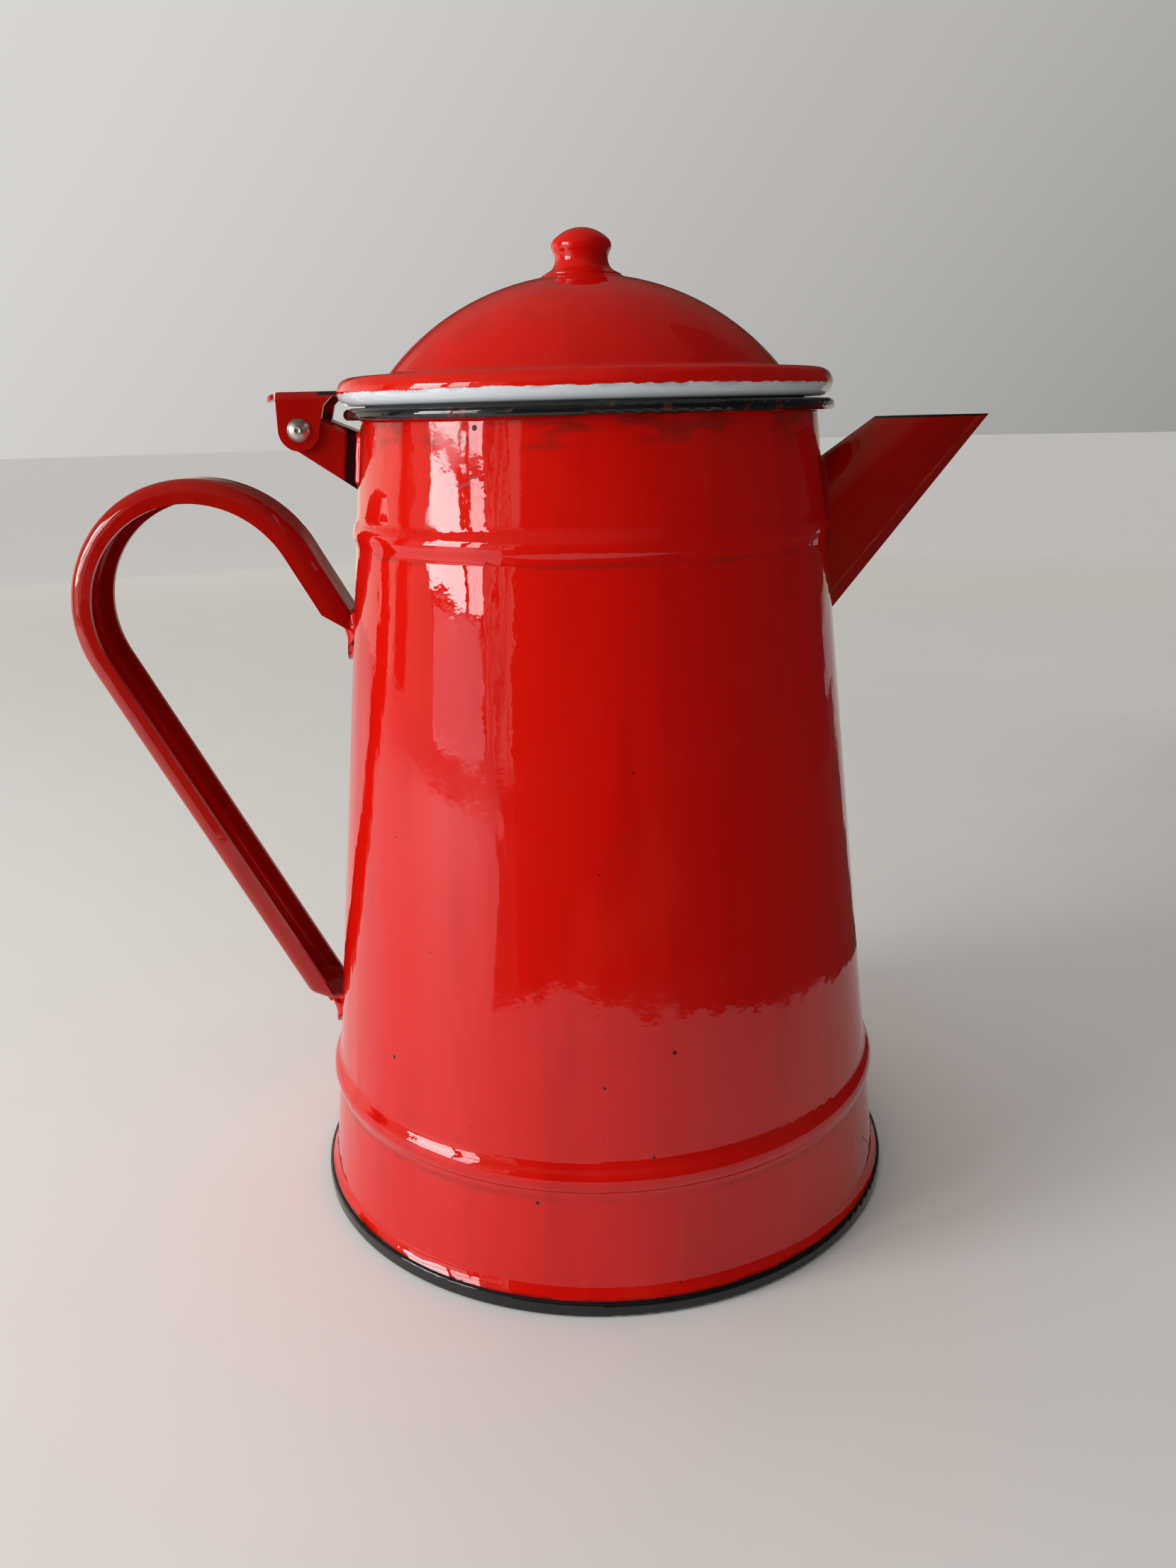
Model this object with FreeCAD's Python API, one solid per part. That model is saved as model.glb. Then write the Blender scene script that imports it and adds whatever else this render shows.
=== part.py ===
import FreeCAD, Part
import math
import os

# A tapered enamelled coffee pot with a folded spout, a strap handle and a domed lid on a riveted hinge.
# Millimetres, +Z up. The origin is on the pot's axis, in the plane that the pot stands on.
# The spout points along +X. The handle and the hinge are on the -X side.

# Sheet metal
sheet = 1.2                  # enamelled steel sheet of every folded piece
base_sheet = 1.0             # thinner sheet of the bottom
weld_gap = 0.15              # between pieces that are welded or folded together

# Body
foot_radius = 70.4           # outside of the wall, carried down to the standing plane
neck_radius = 50.8           # outside of the wall, carried up to the rim's top
rim_height = 187.4           # standing plane to the top of the rim
rim_reach = 3.9              # how far the turned rim stands out beyond the neck radius
rim_bend = 0.8               # inside radius of the bend under the rim
rim_round = 1.4              # outside radius of the rim's edge
rim_side = 0.1               # upright part of the rim's lip, between its two rounds
rim_curl = 1.0               # outside radius at the lower end of the rim's lip
lower_bead_height = 30.4
lower_bead_proud = 1.4
lower_bead_width = 9.0       # with the hollows that run it into the wall
upper_bead_drop = 26.5       # rim's top down to the upper bead
upper_bead_proud = 0.85
upper_bead_width = 7.5

# Bottom, hemmed round the wall's foot flange
hem_reach = 1.6              # how far the hem stands out beyond the foot radius
floor_height = 5.0           # recess under the floor
hem_round = 0.8              # outside radius of the hem's edges

# Spout
spout_reach = 40.4           # tip of the mouth, beyond the neck radius
mouth_drop = 4.2             # rim's top down to the level of the mouth
mouth_length = 26.1          # tip to the rear of the mouth
roof_drop = 9.1              # mouth level to where the roof meets the wall
keel_drop = 45.2             # mouth level to where the keel meets the wall
side_angle = 31.0            # slope of the spout's sides from its upright plane, in degrees
keel_fold = 4.0              # half width of the narrow folded keel where the roof meets the wall
keel_angle = 47.0            # slope of the folded keel from the upright plane, in degrees
keel_round = 1.6             # outside radius along the keel where the roof meets the wall
pour_hole = 4.5              # diameter of a pouring hole
pour_pitch = 6.5             # spacing of the pouring holes
pour_top = 6.0               # from the roof's foot down to the top row
pour_rows = (2, 3, 2, 1)     # holes in each row, from the top

# Handle
handle_width = 16.0
arch_drop = 14.2             # rim's top down to the top of the arch
arch_radius = 29.8           # outside radius of the arch
arch_gap = 6.0               # between the arch and the wall, level with the arch's centre
flange_depth = 5.4           # depth of the channel
handle_corner = 3.4          # outside radius along the channel's back
seat_drop = 46.6             # rim's top down to where the back meets the wall
lower_run = 8.1              # where the back turns in at the bottom, from the wall
lower_fall = 3.2             # how far the short run from that turn to the wall falls
lower_bend = 4.0             # outside radius of that turn
flange_end = 2.9             # the upper seat down to where the ends of the flanges meet the wall
flange_slope = 31.0          # how steeply those ends fall to the wall, in degrees
tongue_width = 13.0
upper_tongue = 5.3           # straight length of the upper tongue, above its round end
lower_tongue = 1.8           # the same for the lower tongue
tongue_rise = 0.8            # the lower bead's top edge up to the end of the lower tongue

# Lid, measured from its underside, which lies just over the rim
lid_gap = 0.3                # over the rim, at rest
lid_shift = 0.8              # the lid sits this far toward its hinge
lid_overhang = 0.3           # folded edge beyond the rim
lid_fold = 6.0               # height of the folded edge
brim_width = 10.9            # folded edge to the foot of the dome
dome_rise = 20.8             # brim to the top of the dome
dome_fillet = 2.6            # at the foot of the dome
skirt_gap = 1.1              # between the mouth and the skirt that enters it
skirt_depth = 5.5
skirt_bend = 0.7             # outside radius where the underside turns down to the skirt

# Knob, measured from the top of the dome
knob_height = 9.6
knob_radius = 6.6            # widest part of the head
head_height = 5.75           # top of the dome to the widest part
head_side = 1.9              # radius of the head's round side
knob_waist = 5.8             # narrow neck under the head
waist_height = 3.1           # top of the dome to the neck
flare_angle = 62.0           # how far the neck turns outward toward the foot, in degrees
foot_flare = 8.7             # radius of the foot on the dome
foot_edge = 0.4              # thickness of the foot's edge
knob_sheet = 1.0
crimp_radius = 8.2           # flare under the lid that holds the knob

# Hinge
hinge_reach = 8.6            # lid's edge to the hinge axis
pivot_drop = 4.3             # rim's top down to the hinge axis
hinge_width = 14.0           # across the outside of the ears
hinge_fold = 1.8             # outside radius of the folds
ear_radius = 4.6             # round end of an ear
ear_spread = 1.3             # an ear is this much wider at its top
ear_gap = 0.4                # between an ear and the bracket's cheek
bracket_radius = 4.3         # round end of the bracket
bracket_top_drop = 5.2       # rim's top to the bracket's upper edge at the wall
bracket_foot_drop = 17.4     # rim's top to the bracket's lower edge at the wall
thumb_length = 3.3           # lip behind the ears
thumb_droop = 1.0
thumb_width = 11.0
rivet_radius = 1.5
rivet_clearance = 0.05       # round the shank, in every hole
rivet_play = 0.1             # between a head and an ear
rivet_head_radius = 2.55
rivet_head_height = 1.4
rivet_dimple = 0.8           # radius of the mark in each head
rivet_dimple_depth = 0.25

# How far cutting shapes reach past what they cut
overrun = 6.0

# Places that several pieces share
base_radius = foot_radius + hem_reach
upper_bead_height = rim_height - upper_bead_drop
spout_tip = neck_radius + spout_reach
mouth_height = rim_height - mouth_drop
handle_top = rim_height - arch_drop
upper_seat = rim_height - seat_drop
lid_radius = neck_radius + rim_reach + lid_overhang
dome_radius = lid_radius - brim_width
skirt_radius = neck_radius - sheet - skirt_gap
lid_base = rim_height + lid_gap
brim_top = lid_base + lid_fold
dome_top = brim_top + dome_rise
leaf_top = lid_base + (lid_fold + sheet) / 2
pivot_x = -(lid_radius + lid_shift + hinge_reach)
pivot_z = rim_height - pivot_drop
hem_height = 2 * base_sheet + sheet + 2 * weld_gap
flange_bottom = base_sheet + weld_gap
lower_bead_top = lower_bead_height + lower_bead_width / 2
lower_tongue_top = lower_bead_top + tongue_rise + tongue_width / 2 + lower_tongue
lower_seat = lower_tongue_top + lower_fall - sheet


def wall_radius(height):
    """Outside radius of the plain tapered wall."""
    return foot_radius + (neck_radius - foot_radius) * height / rim_height


class Outline:
    """A closed outline in the XZ plane, drawn point by point."""

    def __init__(self, x, z):
        self.start = FreeCAD.Vector(x, 0, z)
        self.here = self.start
        self.edges = []

    def line(self, x, z):
        there = FreeCAD.Vector(x, 0, z)
        self.edges.append(Part.LineSegment(self.here, there).toShape())
        self.here = there

    def arc(self, middle_x, middle_z, x, z):
        middle = FreeCAD.Vector(middle_x, 0, middle_z)
        there = FreeCAD.Vector(x, 0, z)
        self.edges.append(Part.Arc(self.here, middle, there).toShape())
        self.here = there

    def turn(self, centre_x, centre_z, x, z):
        """The short way round a centre to a point."""
        centre = FreeCAD.Vector(centre_x, 0, centre_z)
        there = FreeCAD.Vector(x, 0, z)
        reach = ((self.here - centre) + (there - centre)).normalize() * (self.here - centre).Length
        middle = centre + reach
        self.arc(middle.x, middle.z, x, z)

    def face(self):
        self.line(self.start.x, self.start.z)
        return Part.Face(Part.Wire(self.edges))


def spin(face):
    """Turn an outline about the upright axis."""
    return face.revolve(FreeCAD.Vector(0, 0, 0), FreeCAD.Vector(0, 0, 1), 360)


def across(face, width):
    """Extrude an outline across Y, half to each side."""
    placed = face.copy()
    placed.translate(FreeCAD.Vector(0, -width / 2, 0))
    return placed.extrude(FreeCAD.Vector(0, width, 0))


def along_y(x, z, radius, width):
    """A round bar across Y."""
    return Part.makeCylinder(radius, width, FreeCAD.Vector(x, -width / 2, z), FreeCAD.Vector(0, 1, 0))


def tangent_point(point, centre, radius, side):
    """Where the line from a point touches a circle, on its left (1) or right (-1) as seen from the point."""
    reach = centre - point
    swing = math.asin(radius / reach.Length) * side
    length = math.sqrt(reach.Length ** 2 - radius ** 2)
    heading = math.atan2(reach.z, reach.x) + swing
    return point + FreeCAD.Vector(length * math.cos(heading), 0, length * math.sin(heading))


def crossing(point, heading, other, other_heading):
    """Where two lines in the XZ plane cross."""
    spread = heading.x * other_heading.z - heading.z * other_heading.x
    offset = other - point
    step = (offset.x * other_heading.z - offset.z * other_heading.x) / spread
    return point + heading * step


def round_corner(before, corner, after, radius):
    """Start, middle and end of the arc that rounds a corner between two lines."""
    back = (before - corner).normalize()
    ahead = (after - corner).normalize()
    half = back.getAngle(ahead) / 2
    run = radius / math.tan(half)
    inward = (back + ahead).normalize()
    middle = corner + inward * (radius / math.sin(half) - radius)
    return corner + back * run, middle, corner + ahead * run


# Body and bottom

def bead(height, proud, width, inset):
    """Seven points of a rolled bead, from below: a hollow, the round crest and a hollow, with no corners."""
    along = FreeCAD.Vector(neck_radius - foot_radius, 0, rim_height).normalize()
    out = FreeCAD.Vector(along.z, 0, -along.x)
    middle = FreeCAD.Vector(wall_radius(height), 0, height)
    half = width / 2
    turn = 2 * math.atan(proud / half)
    radius = half / (2 * math.sin(turn))

    def hollow(side, share):
        centre = middle + along * (side * half) + out * radius
        lean = along * (side * math.sin(share * turn)) + out * math.cos(share * turn)
        return centre - lean * (radius + inset)

    rising = [hollow(-1, share) for share in (0.0, 0.5, 1.0)]
    falling = [hollow(1, share) for share in (1.0, 0.5, 0.0)]
    return rising + [middle + out * (proud - inset)] + falling


def wall_beads(inset):
    lower = bead(lower_bead_height, lower_bead_proud, lower_bead_width, inset)
    upper = bead(upper_bead_height, upper_bead_proud, upper_bead_width, inset)
    return lower, upper


def draw_bead(outline, points):
    start, first, rise, crest, fall, last, end = points
    outline.line(start.x, start.z)
    outline.arc(first.x, first.z, rise.x, rise.z)
    outline.arc(crest.x, crest.z, fall.x, fall.z)
    outline.arc(last.x, last.z, end.x, end.z)


def body_profile():
    rim_edge = neck_radius + rim_reach
    lip_end = rim_height - rim_round - rim_side - rim_curl
    bend_start = rim_height - sheet - rim_bend
    neck = wall_radius(bend_start)
    flange_top = flange_bottom + sheet
    flange_edge = base_radius - base_sheet - weld_gap
    outline = Outline(wall_radius(flange_bottom) - sheet, flange_bottom)
    outline.line(flange_edge, flange_bottom)
    outline.line(flange_edge, flange_top)
    outline.line(wall_radius(flange_top), flange_top)
    for points in wall_beads(0.0):
        draw_bead(outline, points)
    outline.line(neck, bend_start)
    outline.turn(neck + rim_bend, bend_start, neck + rim_bend, rim_height - sheet)
    outline.line(rim_edge - sheet, rim_height - sheet)
    outline.line(rim_edge - sheet, lip_end)
    outline.line(rim_edge - rim_curl, lip_end)
    outline.turn(rim_edge - rim_curl, lip_end + rim_curl, rim_edge, lip_end + rim_curl)
    outline.line(rim_edge, rim_height - rim_round)
    outline.turn(rim_edge - rim_round, rim_height - rim_round, rim_edge - rim_round, rim_height)
    outline.line(neck + rim_bend, rim_height)
    outline.turn(neck + rim_bend, bend_start, neck - sheet, bend_start)
    for points in reversed(wall_beads(sheet)):
        draw_bead(outline, reversed(points))
    return outline.face()


def filled_body(gap):
    """Everything inside the wall's outer face, grown by a gap, to trim what is welded to the wall."""
    outline = Outline(0, 0)
    outline.line(wall_radius(0) + gap, 0)
    for points in wall_beads(-gap):
        draw_bead(outline, points)
    outline.line(wall_radius(rim_height) + gap, rim_height)
    outline.line(0, rim_height)
    return spin(outline.face())


def pouring_holes():
    holes = []
    first_row = mouth_height - roof_drop - pour_top
    for row, count in enumerate(pour_rows):
        height = first_row - row * pour_pitch
        for place in range(count):
            side = (place - (count - 1) / 2) * pour_pitch
            start = FreeCAD.Vector(wall_radius(height) - sheet - overrun, side, height)
            drill = Part.makeCylinder(pour_hole / 2, sheet + 2 * overrun, start, FreeCAD.Vector(1, 0, 0))
            holes.append(drill)
    return holes


def body_shell():
    return spin(body_profile()).cut(pouring_holes())


def base_pan():
    """Recessed floor, a short skirt inside the wall, and a hem folded round the wall's foot flange."""
    inset = sheet + weld_gap
    floor_top = floor_height + base_sheet
    hem_inside = base_radius - base_sheet
    flange_top = flange_bottom + sheet
    lip = wall_radius(flange_top) + weld_gap
    outline = Outline(0, floor_height)
    outline.line(wall_radius(floor_height) - inset - base_sheet, floor_height)
    outline.line(wall_radius(0) - inset - base_sheet, 0)
    outline.line(base_radius - hem_round, 0)
    outline.turn(base_radius - hem_round, hem_round, base_radius, hem_round)
    outline.line(base_radius, hem_height - hem_round)
    outline.turn(base_radius - hem_round, hem_height - hem_round, base_radius - hem_round, hem_height)
    outline.line(lip, hem_height)
    outline.line(lip, flange_top + weld_gap)
    outline.line(hem_inside, flange_top + weld_gap)
    outline.line(hem_inside, base_sheet)
    outline.line(wall_radius(base_sheet) - inset, base_sheet)
    outline.line(wall_radius(floor_top) - inset, floor_top)
    outline.line(0, floor_top)
    return spin(outline.face())


# Spout

def spout_lines():
    """Foot and heading of the keel and of the roof, and the heading midway between them."""
    tip = FreeCAD.Vector(spout_tip, 0, mouth_height)
    rear = FreeCAD.Vector(spout_tip - mouth_length, 0, mouth_height)
    keel_foot = FreeCAD.Vector(wall_radius(mouth_height - keel_drop), 0, mouth_height - keel_drop)
    roof_foot = FreeCAD.Vector(wall_radius(mouth_height - roof_drop), 0, mouth_height - roof_drop)
    keel = (tip - keel_foot).normalize()
    roof = (rear - roof_foot).normalize()
    axis = (keel + roof).normalize()
    return tip, keel_foot, keel, roof_foot, roof, axis


def leaning(angle):
    """Unit vector that leans outward from upright by an angle in degrees."""
    return FreeCAD.Vector(math.sin(math.radians(angle)), 0, math.cos(math.radians(angle)))


def spout_section(station, inset):
    """Section square to the spout's axis: folded keel, straight sides and a round roof touching them."""
    tip, keel_foot, keel, roof_foot, roof, axis = spout_lines()
    up = FreeCAD.Vector(-axis.z, 0, axis.x)

    def ends(place):
        low = keel_foot + keel * ((place - keel_foot.dot(axis)) / keel.dot(axis))
        high = roof_foot + roof * ((place - roof_foot.dot(axis)) / roof.dot(axis))
        return low, (high - low).dot(up)

    root_low, root_depth = ends(roof_foot.dot(axis))
    low, depth = ends(station)
    scale = depth / root_depth
    slope = leaning(keel_angle)
    side = leaning(side_angle)
    outward = FreeCAD.Vector(side.z, 0, -side.x)
    crease = slope * (keel_fold * scale / slope.x)
    # The roof's centre is as far from the sides as from the roof's top
    crown = (depth - crease.dot(outward)) / (1 + side.x)
    touch = FreeCAD.Vector(0, 0, crown) + outward * (depth - crown - inset)
    # The inside face runs parallel to the outside one
    keel_point = FreeCAD.Vector(0, 0, inset / slope.x)
    crease = crossing(keel_point, slope, touch, side)
    mirror_crease = FreeCAD.Vector(-crease.x, 0, crease.z)
    start, bottom, end = round_corner(crease, keel_point, mirror_crease, keel_round * scale)
    roof_top = FreeCAD.Vector(0, 0, depth - inset)

    def placed(point, flip=1):
        return low + up * point.z + FreeCAD.Vector(0, flip * point.x, 0)

    edges = [
        Part.LineSegment(placed(start), placed(crease)).toShape(),
        Part.LineSegment(placed(crease), placed(touch)).toShape(),
        Part.Arc(placed(touch), placed(roof_top), placed(touch, -1)).toShape(),
        Part.LineSegment(placed(touch, -1), placed(crease, -1)).toShape(),
        Part.LineSegment(placed(crease, -1), placed(end)).toShape(),
        Part.Arc(placed(end), placed(bottom), placed(start)).toShape(),
    ]
    return Part.Wire(edges)


def spout_loft(inset):
    tip, keel_foot, keel, roof_foot, roof, axis = spout_lines()
    first = keel_foot.dot(axis) - overrun
    last = tip.dot(axis) + overrun
    return Part.makeLoft([spout_section(first, inset), spout_section(last, inset)], True, True)


def spout_shell():
    shell = spout_loft(0.0).cut(spout_loft(sheet))
    reach = spout_tip + overrun
    above = Part.makeBox(2 * reach, 2 * reach, reach, FreeCAD.Vector(-reach, -reach, mouth_height))
    return shell.cut([above, filled_body(weld_gap)])


# Handle

def handle_lines():
    """Centre of the arch, and the headings of the lower and upper legs away from it."""
    centre_z = handle_top - arch_radius
    centre = FreeCAD.Vector(-(wall_radius(centre_z) + arch_gap + arch_radius), 0, centre_z)
    corner = FreeCAD.Vector(-wall_radius(lower_seat) - lower_run, 0, lower_seat)
    seat = FreeCAD.Vector(-wall_radius(upper_seat), 0, upper_seat)
    lower = (corner - tangent_point(corner, centre, arch_radius, 1)).normalize()
    upper = (seat - tangent_point(seat, centre, arch_radius, -1)).normalize()
    return centre, corner, lower, seat, upper


def handle_region(back_inset, depth, end_drop):
    """Side view of the channel between its back and its open side, run on into the wall."""
    centre, corner, lower, seat, upper = handle_lines()
    left = FreeCAD.Vector(lower.z, 0, -lower.x)
    right = FreeCAD.Vector(-upper.z, 0, upper.x)
    radius = arch_radius - back_inset
    inner_radius = arch_radius - depth
    fall = FreeCAD.Vector(lower_run, 0, -lower_fall).normalize()
    lift = FreeCAD.Vector(-fall.z, 0, fall.x)
    upright = FreeCAD.Vector(0, 0, 1)
    back_low = centre + left * radius
    back_high = centre + right * radius
    open_low = centre + left * inner_radius
    open_high = centre + right * inner_radius
    turn_point = crossing(corner + lift * back_inset, fall, back_low, lower)
    deep_inside = FreeCAD.Vector(-wall_radius(lower_seat) / 2, 0, 0)
    foot = crossing(turn_point, fall, deep_inside, upright)
    start, middle, end = round_corner(foot, turn_point, back_low, lower_bend - back_inset)
    end_foot = seat - FreeCAD.Vector(0, 0, flange_end + end_drop)
    end_slope = FreeCAD.Vector(1, 0, -math.tan(math.radians(flange_slope)))
    head = crossing(back_high, upper, end_foot, end_slope)
    flange_tip = crossing(open_high, upper, end_foot, end_slope)
    open_foot = crossing(open_low, lower, FreeCAD.Vector(0, 0, lower_seat), FreeCAD.Vector(1, 0, 0))
    arch_top = centre + FreeCAD.Vector(0, 0, radius)
    inner_top = centre + FreeCAD.Vector(0, 0, inner_radius)
    outline = Outline(foot.x, foot.z)
    outline.line(start.x, start.z)
    outline.arc(middle.x, middle.z, end.x, end.z)
    outline.line(back_low.x, back_low.z)
    outline.arc(arch_top.x, arch_top.z, back_high.x, back_high.z)
    outline.line(head.x, head.z)
    back_edges = list(outline.edges)
    outline.line(flange_tip.x, flange_tip.z)
    outline.line(open_high.x, open_high.z)
    outline.arc(inner_top.x, inner_top.z, open_low.x, open_low.z)
    outline.line(open_foot.x, open_foot.z)
    outline.line(deep_inside.x, lower_seat)
    return outline.face(), back_edges


def round_back(solid, back_edges, width, radius):
    """Round the two long edges along the channel's back."""
    wanted = []
    for edge in solid.Edges:
        middle = edge.CenterOfMass
        on_side = abs(abs(middle.y) - width / 2) < 1e-6
        flat = FreeCAD.Vector(middle.x, 0, middle.z)
        if on_side and any((flat - back.CenterOfMass).Length < 1e-6 for back in back_edges):
            wanted.append(edge)
    return solid.makeFillet(radius, wanted)


def channel(back_inset, depth, end_drop, width, corner):
    face, back_edges = handle_region(back_inset, depth, end_drop)
    return round_back(across(face, width), back_edges, width, corner)


def tongue(top, straight):
    """A round-ended strip of sheet that lies on the wall."""
    half = tongue_width / 2
    low = top - straight - half
    outline = Outline(wall_radius(low) + weld_gap, low)
    outline.line(wall_radius(low) + weld_gap + sheet, low)
    outline.line(wall_radius(top) + weld_gap + sheet, top)
    outline.line(wall_radius(top) + weld_gap, top)
    band = spin(outline.face())
    reach = foot_radius + overrun
    end = Part.makeCylinder(half, reach, FreeCAD.Vector(0, 0, low + half), FreeCAD.Vector(-1, 0, 0))
    strip = Part.makeBox(reach, tongue_width, straight, FreeCAD.Vector(-reach, -half, low + half))
    return band.common(strip.fuse(end))


def handle_strap():
    outside = channel(0.0, flange_depth, 0.0, handle_width, handle_corner)
    hollow = channel(sheet, flange_depth + overrun, overrun, handle_width - 2 * sheet, handle_corner - sheet)
    strap = outside.cut([hollow, filled_body(weld_gap)])
    tongues = [tongue(upper_seat + sheet, upper_tongue), tongue(lower_tongue_top, lower_tongue)]
    return strap.fuse(tongues).removeSplitter()


# Lid

def lid_profile():
    """One spun sheet: dome, brim, folded edge and skirt."""
    sphere = (dome_radius ** 2 + dome_rise ** 2) / (2 * dome_rise)
    sphere_z = dome_top - sphere
    fillet_z = brim_top + dome_fillet
    fillet_r = math.sqrt((sphere + dome_fillet) ** 2 - (fillet_z - sphere_z) ** 2)
    share = sphere / (sphere + dome_fillet)
    foot_r = fillet_r * share
    foot_z = sphere_z + (fillet_z - sphere_z) * share
    inner_share = (sphere - sheet) / (sphere + dome_fillet)
    inner_foot_r = fillet_r * inner_share
    inner_foot_z = sphere_z + (fillet_z - sphere_z) * inner_share
    fold = lid_fold / 2
    fold_r = lid_radius - fold
    fold_z = lid_base + fold
    bend_r = skirt_radius + skirt_bend
    bend_z = lid_base - skirt_bend
    skirt_end = lid_base - skirt_depth
    outline = Outline(0, dome_top)
    outline.turn(0, sphere_z, foot_r, foot_z)
    outline.turn(fillet_r, fillet_z, fillet_r, brim_top)
    outline.line(fold_r, brim_top)
    outline.arc(lid_radius, fold_z, fold_r, lid_base)
    outline.line(bend_r, lid_base)
    outline.turn(bend_r, bend_z, skirt_radius, bend_z)
    outline.line(skirt_radius, skirt_end)
    outline.line(skirt_radius - sheet, skirt_end)
    outline.line(skirt_radius - sheet, bend_z)
    outline.turn(bend_r, bend_z, bend_r, lid_base + sheet)
    outline.line(fold_r, lid_base + sheet)
    outline.arc(lid_radius - sheet, fold_z, fold_r, brim_top - sheet)
    outline.line(fillet_r, brim_top - sheet)
    outline.turn(fillet_r, fillet_z, inner_foot_r, inner_foot_z)
    outline.turn(0, sphere_z, 0, dome_top - sheet)
    return outline.face()


def dome_height(radius, inset):
    """Level of the dome's outer face, or of a face inside it, at a radius."""
    sphere = (dome_radius ** 2 + dome_rise ** 2) / (2 * dome_rise)
    return dome_top - sphere + math.sqrt((sphere - inset) ** 2 - radius ** 2)


def lid_dome():
    lid = spin(lid_profile())
    hole = Part.makeCylinder(knob_waist + weld_gap, dome_rise, FreeCAD.Vector(0, 0, dome_top - dome_rise / 2))
    lid = lid.cut(hole)
    lid.translate(FreeCAD.Vector(-lid_shift, 0, 0))
    return lid


def knob_head(inset):
    """Centres of the crown, side and neck arcs, the neck's radius, and where the arcs of a face meet."""
    side_r = knob_radius - head_side
    rise = knob_height - head_height
    crown = (side_r ** 2 + rise ** 2 - head_side ** 2) / (2 * (rise - head_side))
    fall = head_height - waist_height
    narrow = knob_waist - side_r
    neck = (narrow ** 2 + fall ** 2 - head_side ** 2) / (2 * (head_side - narrow))
    crown_centre = FreeCAD.Vector(0, 0, dome_top + knob_height - crown)
    side_centre = FreeCAD.Vector(side_r, 0, dome_top + head_height)
    neck_centre = FreeCAD.Vector(knob_waist + neck, 0, dome_top + waist_height)
    shoulder = side_centre + (side_centre - crown_centre).normalize() * (head_side - inset)
    throat = side_centre + (neck_centre - side_centre).normalize() * (head_side - inset)
    return crown_centre, side_centre, neck_centre, neck, shoulder, throat


def lid_knob():
    """Hollow knob. Its neck passes through the lid and is flared out underneath to hold it."""
    crown_centre, side_centre, neck_centre, neck, shoulder, throat = knob_head(0.0)
    inner_shoulder, inner_throat = knob_head(knob_sheet)[4:]
    turn = math.radians(flare_angle)
    flare = neck_centre - FreeCAD.Vector(neck * math.cos(turn), 0, neck * math.sin(turn))
    waist_z = neck_centre.z
    bore = knob_waist - knob_sheet
    under = sheet + weld_gap
    foot_z = dome_height(foot_flare, -weld_gap)
    neck_end = dome_height(knob_waist, under)
    crimp_z = dome_height(crimp_radius, under)
    outline = Outline(0, dome_top + knob_height)
    outline.turn(0, crown_centre.z, shoulder.x, shoulder.z)
    outline.turn(side_centre.x, side_centre.z, throat.x, throat.z)
    outline.turn(neck_centre.x, neck_centre.z, knob_waist, waist_z)
    outline.turn(neck_centre.x, neck_centre.z, flare.x, flare.z)
    outline.line(foot_flare, foot_z + foot_edge)
    outline.line(foot_flare, foot_z)
    outline.line(knob_waist, dome_height(knob_waist, -weld_gap))
    outline.line(knob_waist, neck_end)
    outline.line(crimp_radius, crimp_z)
    outline.line(crimp_radius, crimp_z - knob_sheet)
    outline.line(bore, neck_end - knob_sheet)
    outline.line(bore, waist_z)
    outline.turn(neck_centre.x, neck_centre.z, inner_throat.x, inner_throat.z)
    outline.turn(side_centre.x, side_centre.z, inner_shoulder.x, inner_shoulder.z)
    outline.turn(0, crown_centre.z, 0, dome_top + knob_height - knob_sheet)
    knob = spin(outline.face())
    knob.translate(FreeCAD.Vector(-lid_shift, 0, 0))
    return knob


# Hinge

def folded_strip(start, heading, length, width, depth):
    """A strip folded down along both sides: an upside-down U run along a heading in the XZ plane."""
    def section(half, top, corner):
        outline = Outline(-half, top - depth)
        outline.line(-half, top - corner)
        outline.turn(-half + corner, top - corner, -half + corner, top)
        outline.line(half - corner, top)
        outline.turn(half - corner, top - corner, half, top - corner)
        outline.line(half, top - depth)
        return outline.face()

    solid = section(width / 2, 0.0, hinge_fold)
    hollow = section(width / 2 - sheet, -sheet, hinge_fold - sheet)
    solid = solid.extrude(FreeCAD.Vector(0, length, 0))
    solid = solid.cut(hollow.extrude(FreeCAD.Vector(0, length, 0)))
    # The strip is drawn running along +Y: turn it to run along +X, then tilt it to its heading
    solid.rotate(FreeCAD.Vector(0, 0, 0), FreeCAD.Vector(0, 0, 1), -90)
    tilt = -math.degrees(math.atan2(heading.z, heading.x))
    solid.rotate(FreeCAD.Vector(0, 0, 0), FreeCAD.Vector(0, 1, 0), tilt)
    solid.translate(start)
    return solid


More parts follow.
